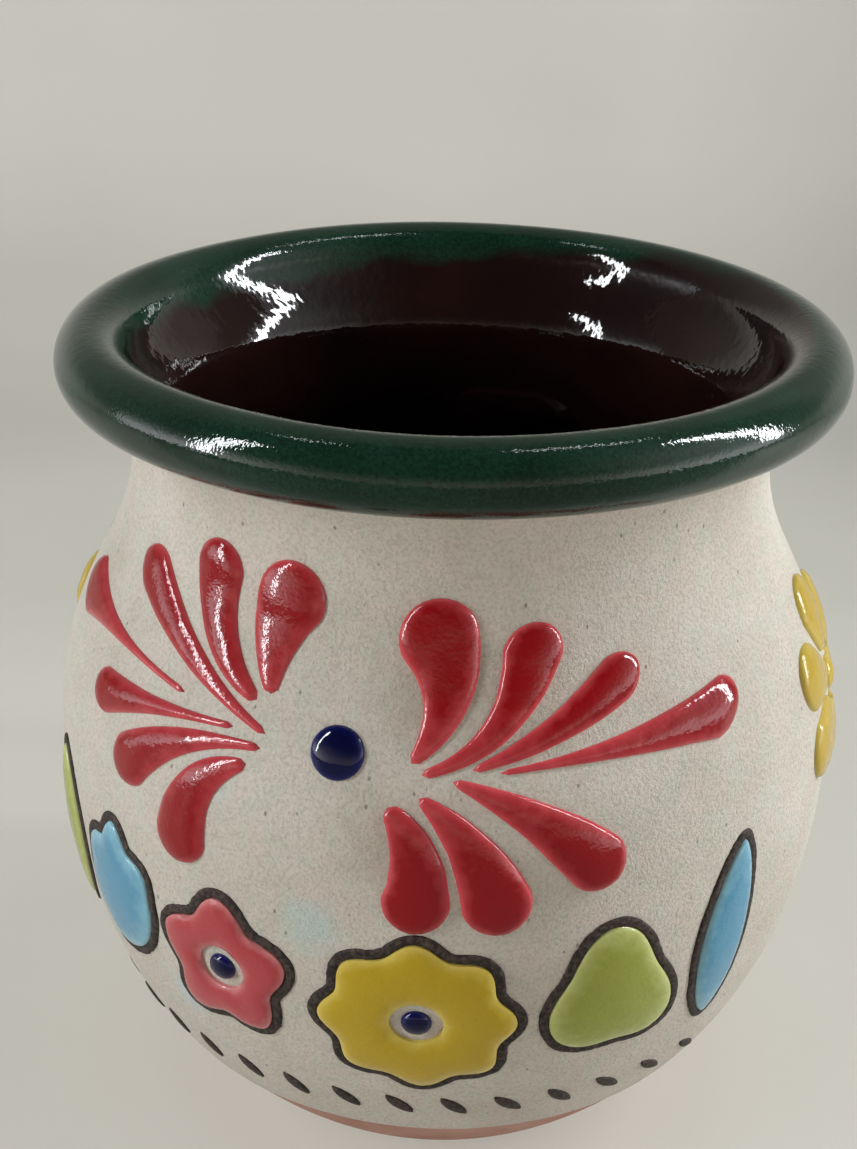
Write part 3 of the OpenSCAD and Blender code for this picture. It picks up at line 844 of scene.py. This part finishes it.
# The border's motifs: sizes, middles and the radii in the blossoms as shares of the bowl's arc
green_leaf = leaf(0.38 * bowl_arc, 0.13 * bowl_arc, 8)
blue_leaf = leaf(0.44 * bowl_arc, 0.12 * bowl_arc, -10)
blue_tulip = tulip(0.117 * bowl_arc, 0.0156 * bowl_arc, 1.25)
red_blossom = petalled(0.15 * bowl_arc, 5, 0.24, 1.12)
yellow_blossom = petalled(0.195 * bowl_arc, 8, 0.13, 1)
green_clover = petalled(0.145 * bowl_arc, 3, 0.26, 1.2)
green_leaf_at = Vector((-0.80, -0.16)) * bowl_arc
blue_tulip_at = Vector((-0.545, -0.175)) * bowl_arc
red_blossom_at = Vector((-0.235, -0.215)) * bowl_arc
yellow_blossom_at = Vector((0.165, -0.255)) * bowl_arc
green_clover_at = Vector((0.555, -0.23)) * bowl_arc
blue_leaf_at = Vector((0.825, -0.18)) * bowl_arc
hole_r = 0.05 * bowl_arc
heart_r = 0.03 * bowl_arc

# Smears of stray glaze and brownish stains on the slip, the brown ones partly painted shade on
# the darker middle of the front: middle across, middle up, spread and tint
smears_and_painted_shade = [(-2 * MM, -3 * MM, 5 * MM, "#9fd0cf"),
          (-15 * MM, 12 * MM, 4 * MM, "#a6c6d8"),
          (-20 * MM, -21 * MM, 4 * MM, "#a6cde0"),
          (9 * MM, 25 * MM, 9 * MM, "#86725c"),
          (7 * MM, 9 * MM, 8 * MM, "#8c7a66")]
smear_cover = 0.32


def pools(name, motifs, material, node):
    bm = new_beads()
    for outline, at in motifs:
        pool(bm, outline, at)
    return finish_piece(bm, name, material, [node])


def blossom(name, outline, at, material, node):
    bm = new_beads()
    band(bm, disc(hole_r), outline, at, pool_relief, 128)
    return finish_piece(bm, name, material, [node])


def drawn_lines(material):
    bm = new_beads()
    for outline, at in (
            (green_leaf, green_leaf_at), (blue_tulip, blue_tulip_at), (red_blossom, red_blossom_at),
            (yellow_blossom, yellow_blossom_at), (green_clover, green_clover_at),
            (blue_leaf, blue_leaf_at)):
        band(bm, *outline_pair(outline), at, line_relief, 128)
    return finish_piece(bm, "drawn_lines", material, ["border_outlines"])


def drops(name, places, radius, material, node):
    bm = new_beads()
    for at, turn in places:
        pool(bm, disc(radius), at, turn, sides=32, dome=drop_dome)
    return finish_piece(bm, name, material, [node])


# The dabs above the foot: their number, and shares of the bowl's arc
dab_count = 15
dab_step = 0.11
dab_rise = -0.545
dab_length = 0.085
dab_width = 0.032


def dab_row(material):
    bm = new_beads()
    for k in range(dab_count):
        at = Vector(((k - (dab_count - 1) / 2) * dab_step, dab_rise)) * bowl_arc
        tilt = 35 + 10 * noise.noise(Vector((k * 1.7, 0, 0)))
        pool(bm, leaf(dab_length * bowl_arc, dab_width * bowl_arc, tilt), at, 0, line_relief, 20)
    return finish_piece(bm, "dab_row", material, ["foot_dabs"])


clay = bare_terracotta()
slip = sandy_slip()
green = dark_glaze("bottle_green_glaze", pebble=0.8, ripple=0.35, gloss=0.05)
dark = dark_glaze("manganese_liner_glaze", pebble=0.15, ripple=0.9, gloss=0.06)
red = trailed_glaze("red_trailed_glaze", "#8c0f16", "#cf5057",
                    gloss=0.12, lump=0.25, pebble=0.05 * MM)
navy = trailed_glaze("navy_trailed_glaze", "#070934", "#141c66",
                     gloss=0.05, lump=0.1, pebble=0.01 * MM)
yellow = trailed_glaze("yellow_trailed_glaze", "#b4972c", "#c8b158")
pool_green = trailed_glaze("leaf_green_pool_glaze", "#929a3f", "#bdc37e")
pool_blue = trailed_glaze("sky_blue_pool_glaze", "#4c8cab", "#93c3d2")
pool_red = trailed_glaze("pink_red_pool_glaze", "#ad4045", "#d08584")
pool_yellow = trailed_glaze("ochre_yellow_pool_glaze", "#b79a20", "#d4bf60")
line = manganese_line()

thrown_body(clay)
slip_skin(slip)
rim_roll(green)
glazed_inside(dark)
pulled_strap(green)
fan("left_fan_strokes", left_fan_shares, Vector((-fan_place.x, fan_place.y)), red, "left_fan")
fan("right_fan_strokes", right_fan_shares, fan_place, red, "right_fan")
yellow_flowers(yellow)
dot_at = Vector((0, dot_rise_share * shoulder_arc))
flower_at = Vector((0, flower_rise_share * shoulder_arc))
drops("blue_dot", [(dot_at, 0)], dot_r, navy, "centre_dot")
drops("flower_drops", [(flower_at, -flower_turn), (flower_at, flower_turn)],
      flower_heart_share * shoulder_arc, pool_yellow, "flower_hearts")
drops("blossom_drops", [(red_blossom_at, 0), (yellow_blossom_at, 0)], heart_r, navy,
      "blossom_hearts")
pools("green_pools", [(green_leaf, green_leaf_at), (green_clover, green_clover_at)], pool_green,
      "border_green")
pools("blue_pools", [(blue_tulip, blue_tulip_at), (blue_leaf, blue_leaf_at)], pool_blue,
      "border_blue")
blossom("red_blossom", red_blossom, red_blossom_at, pool_red, "border_red")
blossom("yellow_blossom", yellow_blossom, yellow_blossom_at, pool_yellow,
        "border_yellow")
drawn_lines(line)
dab_row(line)


# The camera stands where the photograph was taken from, in front and a little to the right
camera_turn = math.radians(14.28)
camera_far = 215.73 * MM
camera_high = 169.48 * MM
camera_pitch = math.radians(24.64)
camera_roll = math.radians(1.12)
camera_yaw = math.radians(-0.67)
camera_lens = 58.28


def set_camera():
    turned = Matrix.Rotation(camera_turn, 3, "Z")
    forward = turned @ Vector((math.sin(camera_yaw) * math.cos(camera_pitch),
                               math.cos(camera_yaw) * math.cos(camera_pitch), -math.sin(camera_pitch)))
    right = forward.cross(Vector((0, 0, 1))).normalized()
    up = right.cross(forward)
    tilted_right = math.cos(camera_roll) * right + math.sin(camera_roll) * up
    tilted_up = math.cos(camera_roll) * up - math.sin(camera_roll) * right
    data = bpy.data.cameras.new("photo_camera")
    data.sensor_fit = "VERTICAL"
    data.sensor_height = 36
    data.lens = camera_lens
    data.clip_start = 0.01
    camera = bpy.data.objects.new("photo_camera", data)
    facing = Matrix((tilted_right, tilted_up, -forward)).transposed().to_4x4()
    camera.matrix_world = Matrix.Translation(turned @ Vector((0, -camera_far, camera_high))) @ facing
    bpy.context.scene.collection.objects.link(camera)
    bpy.context.scene.camera = camera


# A strip lamp that hangs at an azimuth from the blue dot and an elevation, aimed at the mug
lamp_far = 0.62
lamp_aim = Vector((0, 0, 60 * MM))


def strip_lamp(name, azimuth, elevation, width, length, watts):
    lamp = bpy.data.lights.new(name, "AREA")
    lamp.shape = "RECTANGLE"
    lamp.size = width
    lamp.size_y = length
    lamp.energy = watts
    lamp.color = (0.94, 0.98, 1)
    a, e = math.radians(azimuth), math.radians(elevation)
    away = Vector((math.sin(a) * math.cos(e), -math.cos(a) * math.cos(e), math.sin(e)))
    holder = bpy.data.objects.new(name, lamp)
    holder.matrix_world = (Matrix.Translation(lamp_aim + away * lamp_far)
                           @ away.to_track_quat("Z", "Y").to_matrix().to_4x4())
    bpy.context.scene.collection.objects.link(holder)


def set_lights():
    strip_lamp("left_strip", -52, 26, 0.05, 0.50, 2.3)
    strip_lamp("left_top_strip", -92, 70, 0.02, 0.06, 0.045)
    strip_lamp("right_strip", 108, 30, 0.05, 0.55, 3.4)
    strip_lamp("right_top_strip", 132, 72, 0.02, 0.20, 0.14)


# The room is dim but for wide soft bands of light. A row holds the azimuth of a band's middle
# from the camera's, its elevation, the power by which it falls to the sides, its half width as a
# share of the sphere's radius, and its strength
room_bands = [
    (-80, 0, 6, 0.22, 3.1),
    (80, 0, 6, 0.22, 3),
    (-20, 0, 6, 0.22, 1),
    (20, 0, 6, 0.22, 1.1),
    (90, 30, 4, 0.3, 0.9),
    (-90, 30, 4, 0.3, 0.1),
    (0, 30, 4, 0.3, 0.06)]
room_dim = 0.02
# The glazes show this share of the bands within some degrees of the camera, where the dark shape
# of the onlooker stands
front_shown = 0.4
front_degrees = 45
# What the camera sees past the end of the board
past_board = 0.55


def room_band(tree, level, height_up, azimuth, elevation, power, width):
    a = math.radians(azimuth) + camera_turn
    ahead = maths(tree, "MAXIMUM", dot(tree, level, (math.sin(a), -math.cos(a), 0)), 0)
    off = maths(tree, "SUBTRACT", height_up, math.sin(math.radians(elevation)))
    share = maths(tree, "DIVIDE", off, width)
    fall = maths(tree, "POWER", math.exp(-1), maths(tree, "MULTIPLY", share, share))
    return maths(tree, "MULTIPLY", maths(tree, "POWER", ahead, power), fall)


def set_room():
    world = bpy.data.worlds.new("pale_room")
    world.use_nodes = True
    tree = world.node_tree
    direction = add_node(tree, "TexCoord").outputs["Generated"]
    height_up = add_node(tree, "SeparateXYZ", {"Vector": direction}).outputs["Z"]
    flat = level_part(tree, direction)
    level = add_node(tree, "VectorMath", {0: flat}, operation="NORMALIZE").outputs["Vector"]
    ray = add_node(tree, "LightPath")
    shown = share_of(tree, ray.outputs["Is Glossy Ray"], 0, 1, 1, front_shown)
    total = room_dim
    for azimuth, elevation, power, width, strength in room_bands:
        light = room_band(tree, level, height_up, azimuth, elevation, power, width)
        if abs(azimuth) < front_degrees:
            light = maths(tree, "MULTIPLY", light, shown)
        total = maths(tree, "MULTIPLY_ADD", light, strength, total)
    side = dot(tree, level, (math.cos(camera_turn), math.sin(camera_turn), 0))
    tone = blend(tree, maths(tree, "MULTIPLY", side, side), linear("#ffedd8"), linear("#fbfcff"))
    shares = {0: ray.outputs["Is Camera Ray"], 2: total, 3: past_board}
    strength = add_node(tree, "Mix", shares, data_type="FLOAT").outputs[0]
    ground = tree.nodes["Background"]
    tree.links.new(tone, ground.inputs["Color"])
    tree.links.new(strength, ground.inputs["Strength"])
    bpy.context.scene.world = world


# The board: its fold, and how far it goes back, to the front, to each side and up
board_bend = 30 * MM
board_back = 285 * MM
board_front = 1.2
board_half = 1.5
board_high = 1.3
board_under = 0.02 * MM
bend_steps = 12


def table_and_wall(material):
    fold_at = Vector((board_back - board_bend, board_bend))
    line = [Vector((-board_front, 0)), Vector((fold_at.x, 0))]
    line += [fold_at + board_bend * heading(-90 + 90 * i / bend_steps)
             for i in range(1, bend_steps + 1)]
    line += [Vector((board_back, board_high))]
    bm = bmesh.new()
    turned = Matrix.Rotation(camera_turn, 3, "Z")
    verts = [bm.verts.new(turned @ Vector((-board_half, p.x, p.y - board_under))) for p in line]
    edges = [bm.edges.new(pair) for pair in zip(verts, verts[1:])]
    grown = bmesh.ops.extrude_edge_only(bm, edges=edges)["geom"]
    moved = [g for g in grown if isinstance(g, bmesh.types.BMVert)]
    bmesh.ops.translate(bm, verts=moved, vec=turned @ Vector((2 * board_half, 0, 0)))
    bmesh.ops.recalc_face_normals(bm, faces=bm.faces)
    if any(face.normal.z < -0.9 for face in bm.faces):
        bmesh.ops.reverse_faces(bm, faces=bm.faces)
    mesh = bpy.data.meshes.new("table_and_wall")
    bm.to_mesh(mesh)
    bm.free()
    mesh.shade_smooth()
    mesh.materials.append(material)
    board = bpy.data.objects.new("table_and_wall", mesh)
    bpy.context.scene.collection.objects.link(board)


set_camera()
set_lights()
set_room()
table_and_wall(pale_board())
bpy.context.scene.view_settings.view_transform = "Standard"
